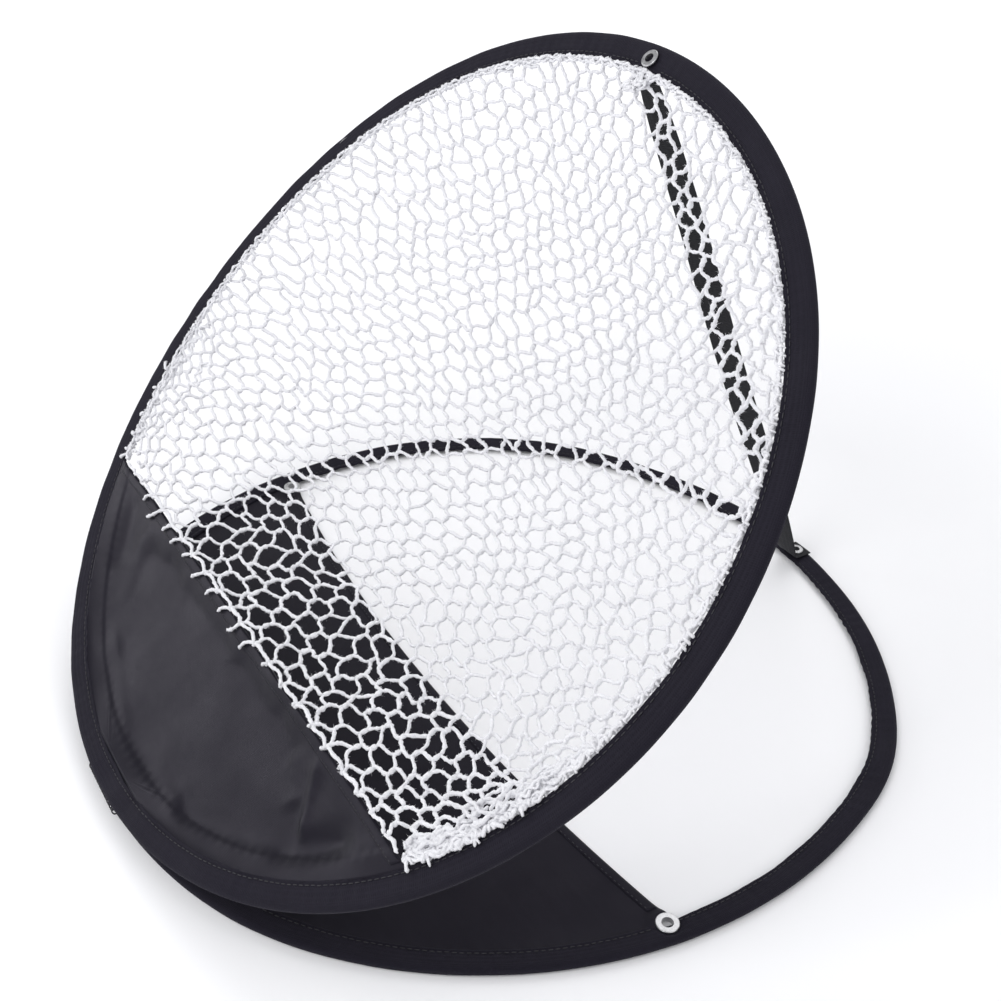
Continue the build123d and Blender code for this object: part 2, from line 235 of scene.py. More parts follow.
def grid_faces(rows, columns, wrap_rows=False, wrap_columns=False, start=0):
    """Quads over a grid of points stored row by row."""
    grid = start + np.arange(rows * columns).reshape(rows, columns)
    if wrap_rows:
        grid = np.vstack([grid, grid[:1]])
    if wrap_columns:
        grid = np.hstack([grid, grid[:, :1]])
    corners = [grid[:-1, :-1], grid[:-1, 1:], grid[1:, 1:], grid[1:, :-1]]
    return np.stack(corners, -1).reshape(-1, 4)


def tube_faces(rings, sides, start=0):
    """Quads of a tube, then its two end caps."""
    quads = grid_faces(rings, sides, wrap_columns=True, start=start).tolist()
    last = start + (rings - 1) * sides
    return quads + [list(range(start + sides - 1, start - 1, -1)), list(range(last, last + sides))]


def rings_about(centres, radius, side, up, sides):
    angles = turns(sides)[:, None]
    return centres[:, None] + radius * (np.cos(angles) * side[:, None]
                                        + np.sin(angles) * up[:, None])


def capsules(name, starts, ends, radius, sides=7):
    """Short closed thread stitches from starts to ends."""
    profile = [(-0.02, 0.35), (0.12, 0.9), (0.5, 1.0), (0.88, 0.9), (1.02, 0.35)]  # place, width
    starts, ends = np.asarray(starts, float), np.asarray(ends, float)
    direction = ends - starts
    length = np.linalg.norm(direction, axis=1, keepdims=True)
    direction = direction / length
    helper = np.where(np.abs(direction[:, 2:3]) < 0.9, [[0, 0, 1.0]], [[1.0, 0, 0]])
    side = unit(np.cross(direction, helper))
    up = np.cross(direction, side)
    points = np.stack([rings_about(starts + direction * length * place, radius * width,
                                   side, up, sides) for place, width in profile], 1)
    rings = len(profile)
    shells = [tube_faces(rings, sides, i * rings * sides) for i in range(len(starts))]
    faces = [face for shell in shells for face in shell[:-2]]
    faces += [face for shell in shells for face in shell[-2:]]
    return make_mesh(name, points.reshape(-1, 3), faces)


def ribbon(name, line, across, normal, width, thickness):
    """A flat closed band along a line, with rounded edges."""
    sides, uv_width = 16, 0.03
    angles = turns(sides)
    wide = 0.5 * width * signed_power(np.cos(angles), 0.45)
    deep = 0.5 * thickness * signed_power(np.sin(angles), 0.7)
    points = (line[:, None] + wide[:, None] * across[:, None] + deep[:, None] * normal[:, None])
    uv = np.stack(np.meshgrid(distances(line) * MM, angles / TURN * uv_width, indexing="ij"), -1)
    return make_mesh(name, points.reshape(-1, 3), tube_faces(len(line), sides), uv.reshape(-1, 2))


def dress(piece, material, body, replaced):
    piece.data.materials.append(material)
    if body:
        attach(piece, body)
    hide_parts(replaced)


# ------------------------------------------------------------------ shader helpers
def new_material(name):
    material = bpy.data.materials.new(name)
    material.use_nodes = True
    tree = material.node_tree
    tree.nodes.clear()
    output = tree.nodes.new("ShaderNodeOutputMaterial")
    shader = tree.nodes.new("ShaderNodeBsdfPrincipled")
    tree.links.new(shader.outputs[0], output.inputs[0])
    return material, tree, shader


def set_inputs(node, values):
    for key, value in values.items():
        node.inputs[key].default_value = value


def ramp(tree, source, stops):
    """A colour ramp; stops are (position, (red, green, blue))."""
    node = tree.nodes.new("ShaderNodeValToRGB")
    elements = node.color_ramp.elements
    for element, (position, colour) in zip(elements, stops):
        element.position = position
        element.color = (*colour, 1)
    tree.links.new(source, node.inputs[0])
    return node.outputs[0]


def grey_ramp(tree, source, start, end):
    """A ramp between two (position, grey) stops."""
    return ramp(tree, source, [(position, (grey,) * 3) for position, grey in (start, end)])


def coords(tree, source="Object", scale=(1, 1, 1)):
    texture = tree.nodes.new("ShaderNodeTexCoord")
    mapping = tree.nodes.new("ShaderNodeMapping")
    mapping.inputs["Scale"].default_value = scale
    tree.links.new(texture.outputs[source], mapping.inputs[0])
    return mapping.outputs[0]


def noise(tree, vector, scale, detail, roughness=0.6):
    node = tree.nodes.new("ShaderNodeTexNoise")
    set_inputs(node, {"Scale": scale, "Detail": detail, "Roughness": roughness})
    tree.links.new(vector, node.inputs["Vector"])
    return node.outputs[0]


def yarns(tree, vector, scale, direction):
    node = tree.nodes.new("ShaderNodeTexWave")
    node.wave_type = "BANDS"
    node.bands_direction = direction
    set_inputs(node, {"Scale": scale, "Distortion": 0.6, "Detail": 1.0})
    tree.links.new(vector, node.inputs["Vector"])
    return node.outputs[1]


def calc(tree, operation, first, second):
    node = tree.nodes.new("ShaderNodeMath")
    node.operation = operation
    for i, value in enumerate((first, second)):
        if isinstance(value, (int, float)):
            node.inputs[i].default_value = value
        else:
            tree.links.new(value, node.inputs[i])
    return node.outputs[0]


def weigh(tree, first, first_weight, second, second_weight):
    return calc(tree, "ADD", calc(tree, "MULTIPLY", first, first_weight),
                calc(tree, "MULTIPLY", second, second_weight))


def bump(tree, shader, height, strength, distance):
    node = tree.nodes.new("ShaderNodeBump")
    set_inputs(node, {"Strength": strength, "Distance": distance})
    tree.links.new(height, node.inputs["Height"])
    tree.links.new(node.outputs[0], shader.inputs["Normal"])


# ------------------------------------------------------------------ materials
BANDS_PER_SCALE = 3.18          # bands per metre of a wave texture at scale 1


def cloth_material(name, dark, light, roughness, sheen, pitch, weave_depth, slub_stretch,
                   specular, tint=(1, 1, 1, 1)):
    """Woven cloth: crossing yarns at the given pitch (m), mottling, slubs and a soft sheen."""
    material, tree, shader = new_material(name)
    vector = coords(tree, "UV")
    scale = 1.0 / pitch / BANDS_PER_SCALE
    weave = calc(tree, "MAXIMUM", yarns(tree, vector, scale, "X"), yarns(tree, vector, scale, "Y"))
    speck = noise(tree, vector, scale=1.1 / pitch, detail=2.0, roughness=0.7)
    cloud = noise(tree, vector, scale=28.0, detail=5.0)
    slub = noise(tree, coords(tree, "UV", slub_stretch), scale=60.0, detail=3.0)
    # how much each pattern moves the colour
    mix = weigh(tree, weave, 0.25, speck, 0.45)
    mix = calc(tree, "ADD", mix, calc(tree, "MULTIPLY", cloud, 0.3))
    centred_slub = calc(tree, "SUBTRACT", slub, 0.5)
    mix = calc(tree, "ADD", mix, calc(tree, "MULTIPLY", centred_slub, 0.35))
    tree.links.new(ramp(tree, mix, [(0.25, dark), (0.8, light)]), shader.inputs["Base Color"])
    rough = grey_ramp(tree, cloud, (0.3, roughness - 0.07), (0.7, roughness + 0.07))
    tree.links.new(rough, shader.inputs["Roughness"])
    set_inputs(shader, {"Sheen Weight": sheen, "Sheen Roughness": 0.45,
                        "Sheen Tint": (0.8, 0.8, 1.0, 1),
                        "Specular IOR Level": specular, "Specular Tint": tint})
    bump(tree, shader, weigh(tree, weave, 0.6, speck, 0.8), strength=weave_depth, distance=0.0004)
    return material


def cord_material():
    material, tree, shader = new_material("net_cord")
    vector = coords(tree)
    fine = noise(tree, vector, scale=1400.0, detail=3.0)
    broad = noise(tree, vector, scale=90.0, detail=3.0)
    colour = ramp(tree, weigh(tree, fine, 0.6, broad, 0.4),
                  [(0.3, (0.64, 0.64, 0.675)), (0.62, (0.86, 0.86, 0.89))])
    tree.links.new(colour, shader.inputs["Base Color"])
    set_inputs(shader, {"Roughness": 0.9, "Specular IOR Level": 0.2,
                        "Sheen Weight": 0.15, "Sheen Roughness": 0.5})
    bump(tree, shader, fine, strength=0.8, distance=0.0004)
    return material


def metal_material():
    material, tree, shader = new_material("eyelet_metal")
    grain = noise(tree, coords(tree), scale=420.0, detail=4.0)
    colour = ramp(tree, grain, [(0.3, (0.36, 0.36, 0.37)), (0.7, (0.60, 0.60, 0.61))])
    tree.links.new(colour, shader.inputs["Base Color"])
    tree.links.new(grey_ramp(tree, grain, (0.3, 0.24), (0.75, 0.46)), shader.inputs["Roughness"])
    shader.inputs["Metallic"].default_value = 1.0
    bump(tree, shader, grain, strength=0.15, distance=0.0003)
    return material


def thread_material():
    material, tree, shader = new_material("thread")
    grain = noise(tree, coords(tree), scale=1800.0, detail=2.0)
    colour = ramp(tree, grain, [(0.3, (0.007, 0.007, 0.010)), (0.7, (0.030, 0.029, 0.037))])
    tree.links.new(colour, shader.inputs["Base Color"])
    shader.inputs["Roughness"].default_value = 0.6
    bump(tree, shader, grain, strength=0.5, distance=0.0002)
    return material


SLEEVE_CLOTH = cloth_material(
    "sleeve_cloth", dark=(0.0042, 0.0038, 0.0068), light=(0.0140, 0.0126, 0.0196),
    roughness=0.85, sheen=0.03, pitch=0.0011, weave_depth=0.6, slub_stretch=(0.3, 3, 1),
    specular=0.22, tint=(0.86, 0.82, 1.0, 1))
PANEL_CLOTH = cloth_material(
    "panel_cloth", dark=(0.0018, 0.0016, 0.0036), light=(0.0056, 0.0050, 0.0088),
    roughness=0.44, sheen=0.015, pitch=0.0007, weave_depth=0.2, slub_stretch=(0.15, 5, 1),
    specular=0.215, tint=(0.84, 0.78, 1.0, 1))
GROUND_CLOTH = cloth_material(
    "ground_cloth", dark=(0.0022, 0.0020, 0.0040), light=(0.0066, 0.0060, 0.0098),
    roughness=0.52, sheen=0.015, pitch=0.0007, weave_depth=0.2, slub_stretch=(0.15, 5, 1),
    specular=0.20, tint=(0.84, 0.78, 1.0, 1))
STRAP_TAPE = cloth_material(
    "strap_tape", dark=(0.005, 0.005, 0.006), light=(0.02, 0.02, 0.0235),
    roughness=0.75, sheen=0.04, pitch=0.0012, weave_depth=0.8, slub_stretch=(3, 0.3, 1),
    specular=0.3)
CORD, METAL, THREAD = cord_material(), metal_material(), thread_material()

for node_name, cad_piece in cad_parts.items():
    is_metal = any(word in node_name for word in ("eyelet", "washer", "wire", "ferrule"))
    cad_piece.data.materials.clear()
    cad_piece.data.materials.append(METAL if is_metal else THREAD)


# ------------------------------------------------------------------ sleeves and springs
def sleeve(name, inner_r, place, seed, holes, body):
    """A flattened fabric tube: fuller at the outer edge, pinched along the seam near its inner
    edge, lightly puckered."""
    stations, sides = 1080, 36
    ring = turns(stations)
    around, section = np.meshgrid(ring, turns(sides), indexing="ij")
    outward = 0.5 + 0.5 * signed_power(np.cos(section), 0.62)     # 0 inner edge, 1 outer edge
    inward = 1 - outward
    seam = np.exp(-((outward - 0.17) / 0.07) ** 2)
    pucker = wobble(ring, range(150, 230, 5), seed)[:, None]
    soft = wobble(ring, range(17, 60, 4), seed + 1)[:, None]
    slow = wobble(ring, range(3, 11), seed + 2)[:, None]

    half_thick = 1.35 + 1.45 * np.clip((outward - 0.25) / 0.6, 0, 1) ** 1.5
    half_thick = half_thick * (1 + 0.06 * pucker * inward + 0.07 * soft)
    half_thick = half_thick * (1 - 0.42 * seam * (1 + 0.3 * pucker))
    height = half_thick * signed_power(np.sin(section), 0.75)
    height = height + 0.16 * pucker * inward + 0.22 * soft * inward
    height = np.clip(height, -2.95, 3.2)
    radius = (inner_r + 0.25 + (HOOP_R - 0.25 - inner_r) * outward
              + inward * (0.28 * soft + 0.16 * pucker) + 0.22 * slow * outward)
    radius = np.minimum(radius, HOOP_R + 0.1)
    x, y = radius * np.sin(around), radius * np.cos(around)
    # the cloth is nipped flat and cut away round each peg eyelet
    for hole_x, hole_y in holes:
        gap = np.hypot(x - hole_x, y - hole_y)
        nip = np.exp(-(np.maximum(gap - PEG_FLANGE_R, 0) / 1.2) ** 2)
        height = height * (1 - nip) + 0.38 * np.sign(height) * nip
        turn = (around - math.atan2(hole_x, hole_y) + math.pi) % (2 * math.pi) - math.pi
        radius = radius + inward * 3.2 * np.exp(-(turn / 0.024) ** 2)
        x, y = radius * np.sin(around), radius * np.cos(around)
        gap = np.maximum(np.hypot(x - hole_x, y - hole_y), 0.05)
        push = np.maximum(PEG_BORE_R - gap, 0)
        x, y = x + (x - hole_x) / gap * push, y + (y - hole_y) / gap * push
    faces = np.roll(grid_faces(stations, sides, wrap_rows=True, wrap_columns=True), -1, axis=1)
    uv = np.stack([around * HOOP_R * MM, section / TURN * 0.034], -1).reshape(-1, 2)
    piece = make_mesh(name, place(x, y, height).reshape(-1, 3), faces, uv)
    dress(piece, SLEEVE_CLOTH, body, body + "_sleeve")


def seam_stitches(body, inner_r, place, seed, gaps):
    """Stitches round both faces of a sleeve; gaps are (angle, half width) in radians."""
    count, stitch_length = 400, 2.6
    seam_r = inner_r + SEAM_INSET
    draw = np.random.default_rng(seed)
    starts, ends = [], []
    for side in (1, -1):
        for i in range(count):
            angle = 2 * math.pi * i / count
            if any(abs((angle - middle + math.pi) % (2 * math.pi) - math.pi) < half_width
                   for middle, half_width in gaps):
                continue
            radius = seam_r + draw.normal() * 0.08
            height = side * (1.0 + draw.normal() * 0.03)
            for points, turn in ((starts, angle), (ends, angle + stitch_length / seam_r)):
                points.append(place(radius * math.sin(turn), radius * math.cos(turn), height))
    piece = capsules(body + "_seam_stitches", starts, ends, 0.3)
    dress(piece, THREAD, body, body + "_seam_threads")


def spring_bar(name, half_width, half_height, start, end, count, replaced):
    """A flat closed steel bar along the base ring, between two angles in degrees."""
    angles = np.radians(np.linspace(start, end, count))
    inner, outer = SPRING_R - half_width, SPRING_R + half_width
    section = [(inner, -half_height), (outer, -half_height),
               (outer, half_height), (inner, half_height)]
    points = np.stack([on_base(radius * np.sin(angles), radius * np.cos(angles), height)
                       for radius, height in section], 1)
    piece = make_mesh(name, points.reshape(-1, 3), tube_faces(count, 4), smooth=False)
    dress(piece, METAL, "base", replaced)


def hinge_lashing():
    """Thread loops that whip the two sleeves together along the fold axis."""
    loop_points, sides, thread_r = 24, 6, 0.42
    angles = turns(loop_points)
    points, faces = [], []
    for i, x in enumerate(np.linspace(-20, 20, 19)):
        lean = 0.55 if i % 2 else -0.55
        loop = np.stack([x + lean * np.sin(angles), HINGE_Y + 0.3 + 1.9 * np.cos(angles),
                         HINGE_Z - 0.3 + 2.3 * np.sin(angles)], -1)
        direction = unit(np.roll(loop, -1, 0) - np.roll(loop, 1, 0))
        side = unit(ACROSS - direction * (direction @ ACROSS)[:, None])
        faces += grid_faces(loop_points, sides, True, True, start=len(points)).tolist()
        up = np.cross(direction, side)
        points += rings_about(loop, thread_r, side, up, sides).reshape(-1, 3).tolist()
    dress(make_mesh("hinge_lashing", points, faces), THREAD, "base", "hinge_stitches")


peg_holes = [unshift(side * PEG_X, PEG_Y) for side in (1, -1)]
sleeve("base_sleeve_cloth", BASE_INNER_R, on_base, 11, peg_holes, "base")
sleeve("target_sleeve_cloth", TARGET_INNER_R, on_target, 23, [], "target")
seam_stitches("base", BASE_INNER_R, on_base, 3,
              [(REAR_ANGLE, 0.045), (PEG_ANGLE, 0.035), (-PEG_ANGLE, 0.035)])
seam_stitches("target", TARGET_INNER_R, on_target, 5, [(0.0, 0.045)])
half_gap = math.degrees(0.5 / SPRING_R)
half_ferrule = math.degrees(8.0 / SPRING_R)
spring_bar("base_spring_band", 0.6, 1.35, SPRING_JOIN + half_gap, SPRING_JOIN + 360 - half_gap,
           720, "base_hoop_wire")
spring_bar("base_spring_ferrule", 1.05, 2.05, SPRING_JOIN - half_ferrule,
           SPRING_JOIN + half_ferrule, 14, "base_hoop_ferrule")
hinge_lashing()


# ------------------------------------------------------------------ cloth panels
CLOTH_THICK = 0.7

# creases: x and y of one end, x and y of the other, width, height, and 1 for a sharp ridge
APRON_CREASES = [
    (-60, -203, 20, -141, 4.5, 2.2, 1), (-50, -206, 30, -148, 9.0, -1.8, 0),
    (-4, -160, 46, -192, 7.5, 1.2, 0), (-14, -178, 42, -209, 7.5, 1.3, 0),
    (14, -156, 62, -186, 8.0, -1.2, 0), (-34, -200, 26, -229, 8.0, -1.3, 0),
    (-110, -196, -8, -230, 6.5, 1.2, 0), (52, -222, 106, -184, 10.5, -5.0, 0),
    (92, -194, 136, -172, 9.0, -4.4, 0), (128, -196, 166, -146, 9.0, -3.6, 0),
    (108, -137, 137, -176, 4.5, 2.2, 1), (88, -150, 120, -170, 9.0, 2.2, 0),
    (-138, -146, -96, -194, 8.0, 1.4, 0), (-165, -140, -128, -186, 8.0, -1.4, 0),
    (-100, -142, -70, -182, 7.0, -1.3, 1), (-76, -140, -52, -176, 8.0, 1.1, 0),
    (60, -140, 92, -168, 8.0, -1.2, 0), (10, -212, 70, -228, 7.5, 1.2, 0)]
PANEL_CREASES = [
    (70, -60, 205, -120, 8, 1.3, 0), (-40, -60, -150, -190, 9, 1.3, 0),
    (150, -40, 190, -128, 6, -1.1, 0), (60, -150, 175, -158, 7, 1.0, 0),
    (110, -90, 200, -96, 6, 0.9, 0)]


def segment_grid(radius, top_y, low_y, columns, rows):
    """Points over the circle segment between two heights, and how far down each row is (0-1)."""
    down = np.linspace(0, 1, rows)[:, None]
    row_y = top_y + (low_y - top_y) * down
    half_width = np.sqrt(np.maximum(radius ** 2 - row_y ** 2, 4.0))
    return half_width * np.linspace(-1, 1, columns), np.repeat(row_y, columns, 1), down


def crease(x, y, x0, y0, x1, y1, width, height, sharp):
    """A ridge along a line, fading at its ends."""
    direction = np.array([x1 - x0, y1 - y0], float)
    length = np.hypot(*direction)
    direction /= length
    forward = (x - x0) * direction[0] + (y - y0) * direction[1]
    aside = -(x - x0) * direction[1] + (y - y0) * direction[0]
    end = 0.25 * length
    fade = smoothstep(np.clip(forward / end, 0, 1) * np.clip((length - forward) / end, 0, 1))
    if sharp:
        profile = np.exp(-np.sqrt((aside / width) ** 2 + 0.04) + 0.2)
    else:
        profile = np.exp(-(aside / width) ** 2)
    return height * profile * fade


def relax(name, points, faces, frames, shrink, stiffness, bending, gravity):
    """Run a cloth simulation on a grid of points held at its sides and last row."""
    piece = make_mesh(name, points.reshape(-1, 3), faces)
    pinned = np.zeros(points.shape[:2], bool)
    pinned[:, 0] = pinned[:, -1] = True
    pinned[-1, :] = True
    group = piece.vertex_groups.new(name="pin")
    group.add([int(i) for i in np.nonzero(pinned.ravel())[0]], 1.0, "REPLACE")
    cloth = piece.modifiers.new("Cloth", "CLOTH")
    settings = cloth.settings
    settings.quality = 5
    settings.mass = 0.12
    settings.tension_stiffness = stiffness
    settings.compression_stiffness = stiffness
    settings.shear_stiffness = stiffness
    settings.bending_stiffness = bending
    settings.air_damping = 2.0
    settings.shrink_min = shrink
    settings.vertex_group_mass = "pin"
    settings.effector_weights.gravity = gravity
    cloth.collision_settings.use_collision = False
    cloth.point_cache.frame_start, cloth.point_cache.frame_end = 1, frames
    scene = bpy.context.scene
    for i in range(1, frames + 1):
        scene.frame_set(i)
    result = piece.evaluated_get(bpy.context.evaluated_depsgraph_get())
    flat = np.zeros(len(result.data.vertices) * 3, np.float32)
    result.data.vertices.foreach_get("co", flat)
    piece.modifiers.remove(cloth)
    piece.vertex_groups.clear()
    scene.frame_set(1)
    bpy.data.objects.remove(piece)
    return flat.astype(float).reshape(points.shape) / MM


def sheet(name, points, faces, uv):
    """A closed thin sheet: both faces and the rim."""
    piece = make_mesh(name, points, faces, uv)
    solid = piece.modifiers.new("thickness", "SOLIDIFY")
    solid.thickness = CLOTH_THICK * MM
    solid.offset = 0
    depsgraph = bpy.context.evaluated_depsgraph_get()
    mesh = bpy.data.meshes.new_from_object(piece.evaluated_get(depsgraph))
    piece.modifiers.clear()
    piece.data = mesh
    return piece


def apron():
    """The cloth on the target hoop beside the hinge. Returns its grid of points."""
    radius = TARGET_INNER_R + 1.2
    x, y, _ = segment_grid(radius, APRON_Y, -239.0, columns=281, rows=91)
    faces = grid_faces(*x.shape)
    rim_gap = radius - np.hypot(x, y)
    free = smoothstep((rim_gap - 1.0) / 22.0)               # 0 at the rim, 1 well inside
    # each row is pulled straight between its ends
    straight = bow(np.sqrt(np.maximum(radius ** 2 - y ** 2, 1)))
    height = bow(x) * (1 - free) + straight * free
    points = flat_target(x, y, height + 0.2 * smooth_noise(x, y, 70, 5) * free)
    relaxed = relax("apron_sim", points, faces, frames=24, shrink=-0.0008,
                    stiffness=16.0, bending=0.8, gravity=0.08)
    # the free edge is drawn straight by the net
    slack = (0.12 + 0.88 * smoothstep((APRON_Y - y) / 42.0))[..., None]
    points = points * (1 - slack) + relaxed * slack
    folds = sum(crease(x, y, *row) for row in APRON_CREASES)
    # a turned-in seam allowance, stitched down beside the sleeve
    hem_gap = rim_gap - 11.5
    allowance = 0.55 * (1 - 1 / (1 + np.exp(-hem_gap / 0.5)))
    pucker = 0.16 * np.cos(np.arctan2(x, y) * 250.0 / 1.25) * np.exp(-(hem_gap / 3.0) ** 2)
    relief = folds * free + 0.4 * smooth_noise(x, y, 52, 9) * free + allowance + pucker
    points = points + relief[..., None] * NORMAL
    # no dent reaches so far back that the folded apron would cut into the ground panel
    shut = math.radians(39.0)
    folded_z = (HINGE_Z - (points[..., 1] - HINGE_Y) * math.sin(shut)
                + (points[..., 2] - HINGE_Z) * math.cos(shut))
    lift = soft_floor(folded_z, limit=6.0, softness=1.6) - folded_z
    points = points + (lift / math.cos(OPEN_ANGLE - shut))[..., None] * NORMAL
    uv = np.stack([x * MM, y * MM], -1).reshape(-1, 2)
    dress(sheet("apron_cloth", points.reshape(-1, 3), faces, uv),
          PANEL_CLOTH, "target", "target_apron")
    return points


def ground_panel():
    """The cloth in the front of the base hoop; its free edge is hollowed towards the front.
    Returns its grid of points."""
    radius = BASE_INNER_R + 4.0
    x, y, down = segment_grid(radius, PANEL_END_Y, -240.0, columns=281, rows=111)
    y = y - (PANEL_END_Y - PANEL_Y) * (1 - (x / 235.0) ** 2).clip(0, 1) * (1 - down) ** 2
    faces = grid_faces(*x.shape)
    free = smoothstep((radius - np.hypot(x, y) - 4.0) / 20.0)
    points = on_base(x, y, 0.25 * smooth_noise(x, y, 70, 31) * free)
    points = relax("panel_sim", points, faces, frames=18, shrink=-0.005,
                   stiffness=14.0, bending=0.4, gravity=0.2)
    ripple = 0.4 * smooth_noise(x, y, 48, 33)
    points[..., 2] += sum((crease(x, y, *row) for row in PANEL_CREASES), ripple) * free
    points[..., 2] = np.minimum(soft_floor(points[..., 2], limit=0.6, softness=1.5), 4.6)
    kept = np.ones(len(faces), bool)
    # nipped flat between each peg eyelet and its washer, and cut away round the barrel
    for peg_x in (PEG_X, -PEG_X):
        gap = np.hypot(points[..., 0] - peg_x, points[..., 1] - PEG_Y)
        nip = np.exp(-(np.maximum(gap - 6.8, 0) / 4.0) ** 2)
        points[..., 2] = points[..., 2] * (1 - nip) + BASE_Z * nip
        middle = points.reshape(-1, 3)[faces].mean(1)
        kept &= np.hypot(middle[:, 0] - peg_x, middle[:, 1] - PEG_Y) > 4.9
    used, kept_faces = np.unique(faces[kept], return_inverse=True)
    uv = np.stack([x * MM, y * MM], -1).reshape(-1, 2)
    dress(sheet("ground_panel_cloth", points.reshape(-1, 3)[used],
                kept_faces.reshape(-1, 4), uv[used]),
          GROUND_CLOTH, "base", "base_panel")
    return points


def hem(name, points, middle_row, inner_row, trim, width, thickness, seam_inset, stitch_height,
        stitched_sides, material, body, replaced):
    """A rolled hem that follows a panel's free edge, and its stitches."""
    line = points[middle_row, trim:-trim]
    across = unit(points[0, trim:-trim] - points[inner_row, trim:-trim])
    normal = unit(np.cross(along(line), across))
    dress(ribbon(name + "_hem_cloth", line, across, normal, width, thickness),
          material, body, replaced + "_hem")
    seam = line - across * seam_inset
    starts, ends = [], []
    for i in range(0, len(seam) - 1, 2):
        for side in stitched_sides:
            rise = normal[i] * stitch_height * side
            starts.append(seam[i] + rise)
            ends.append(seam[i] * 0.1 + seam[i + 1] * 0.9 + rise)
    dress(capsules(name + "_hem_stitches", starts, ends, 0.26),
          THREAD, body, replaced + "_threads")


apron_points = apron()
panel_points = ground_panel()
hem("apron", apron_points, middle_row=3, inner_row=7, trim=3, width=6.4, thickness=1.6,
    seam_inset=1.9, stitch_height=0.78, stitched_sides=(1, -1),
    material=PANEL_CLOTH, body="target", replaced="target_apron")
hem("ground_panel", panel_points, middle_row=2, inner_row=4, trim=9, width=6.2, thickness=2.0,
    seam_inset=1.8, stitch_height=0.98, stitched_sides=(1,),
    material=GROUND_CLOTH, body="base", replaced="base_panel")


# ------------------------------------------------------------------ the net's surface
NET_DEPTH = 88.0
NET_R = 238.6
NET_SPAN = 385                  # length of the flat net, from the apron upwards
MESH_WIDTH, ROW_PITCH = 18.7, 7.5
CROWD_R = 176.0                 # outside this radius the net can crowd towards the rim
APRON_END = math.acos(APRON_Y / TARGET_INNER_R)     # rim angle, from the top, where it begins
# the net is bunched along the rim between these angles from the top
BUNCH_START, BUNCH_END = math.radians(101.0), math.radians(124.0)
ROPE_START = math.radians(106)

# the apron's free edge in the target frame; the net hangs from it
edge_x, edge_y, edge_height = ((apron_points[0] - CENTRE) @ axis
                               for axis in (ACROSS, UPHILL, NORMAL))


def height_at_edge(x):
    return np.interp(x, edge_x, edge_height)


def edge_shift(x):
    return np.interp(x, edge_x, edge_y) - APRON_Y


def net_world(x, y, height):
    """Net coordinates to the world; height is above the sagging surface."""
    x, y, height = same_shape(x, y, height)
    above_apron = np.maximum(y - APRON_Y, 0)
    near = np.exp(-above_apron / 30.0)
    inside = np.clip(1 - (x * x + y * y) / 238.5 ** 2, -0.05, 1)
    sag = NET_DEPTH * inside * (1 - np.exp(-above_apron / 48.0))
    surface = bow(x) * (1 - near) + height_at_edge(x) * near - sag
    return flat_target(x, y + edge_shift(x) * near, surface + height)


def rim_world(angle, radius, height):
    return on_target(radius * np.sin(angle), radius * np.cos(angle), height)


def net_warp(x, y):
    """Where a point of the flat net ends up: closer together towards the top, crowded along the
    rim low on each side."""
    x = x * (1 - 0.30 * smoothstep((y - 10) / 220.0))
    away = np.clip((y - APRON_Y) / 25, 0, 1)
    x = x + 2.6 * np.sin(y / 19.0 + 1.2 * np.sin(x / 33.0)) * away
    y = y + 2.0 * np.sin(x / 17.0 + 1.1 * np.sin(y / 29.0)) * away
    radius = np.hypot(x, y)
    angle = np.abs(np.arctan2(x, y))
    crowd = smoothstep((angle - 1.50) / 0.35) * smoothstep((2.35 - angle) / 0.12)
    depth = NET_R - CROWD_R
    part = np.clip((radius - CROWD_R) / (depth + 52.0 * crowd), 0, 1.2)
    crowded = CROWD_R + depth * (1 - signed_power(1 - part, 1 + 0.83 * crowd))
    new_radius = np.where((radius > CROWD_R) & (crowd > 0), crowded, radius)
    return x * new_radius / np.maximum(radius, 1), y * new_radius / np.maximum(radius, 1)


# ------------------------------------------------------------------ the net's meshes
def place_knots(draw):
    """{(column, row): (x, y, height, half length, lean)} of every knot."""
    knots = {}
    for j in range(int(NET_SPAN / ROW_PITCH) + 2):
        for i in range(-20, 21):
            shift_x, shift_y, height = draw.normal(0, 1.5), draw.normal(0, 0.9), draw.normal(0, 1.3)
            if j == 0:
                shift_x, shift_y, height = draw.normal(0, 1.2), 0.0, 1.4
            x, y = net_warp((i + 0.5 * (j % 2)) * MESH_WIDTH + shift_x,
                            APRON_Y + 1.0 + j * ROW_PITCH + shift_y)
            knots[(i, j)] = (float(x), float(y), height, draw.uniform(0.7, 1.9),
                             draw.normal(0, 0.5))
    return knots


def bezier(start, end, start_pull, end_pull, count):
    part = np.linspace(0, 1, count)[:, None]
    rest = 1 - part
    return (rest ** 3 * start + 3 * rest ** 2 * part * (start + start_pull)
            + 3 * rest * part ** 2 * (end + end_pull) + part ** 3 * end)


def mesh_leg(lower, upper, draw):
    """A leg that leaves and meets its knots nearly upright, so meshes are rounded hexagons."""
    x0, y0, height0, stem0, lean0 = lower
    x1, y1, height1, stem1, lean1 = upper
    way = 0.35 if x1 > x0 else -0.35
    gap = math.hypot(x1 - x0, y1 - y0)
    pull0, pull1 = gap * draw.uniform(0.26, 0.5), gap * draw.uniform(0.26, 0.5)
    tilt0 = way + draw.normal(0, 0.42)
    tilt1 = way + draw.normal(0, 0.42)
    start = np.array([x0 + lean0 * 0.5, y0 + stem0 * 0.9, height0])
    end = np.array([x1 - lean1 * 0.5, y1 - stem1 * 0.9, height1])
    leave = np.array([math.sin(tilt0) * pull0, math.cos(tilt0) * pull0, draw.normal(0, 1.0)])
    arrive = np.array([-math.sin(tilt1) * pull1, -math.cos(tilt1) * pull1, draw.normal(0, 1.0)])
    return bezier(start, end, leave, arrive, 12)


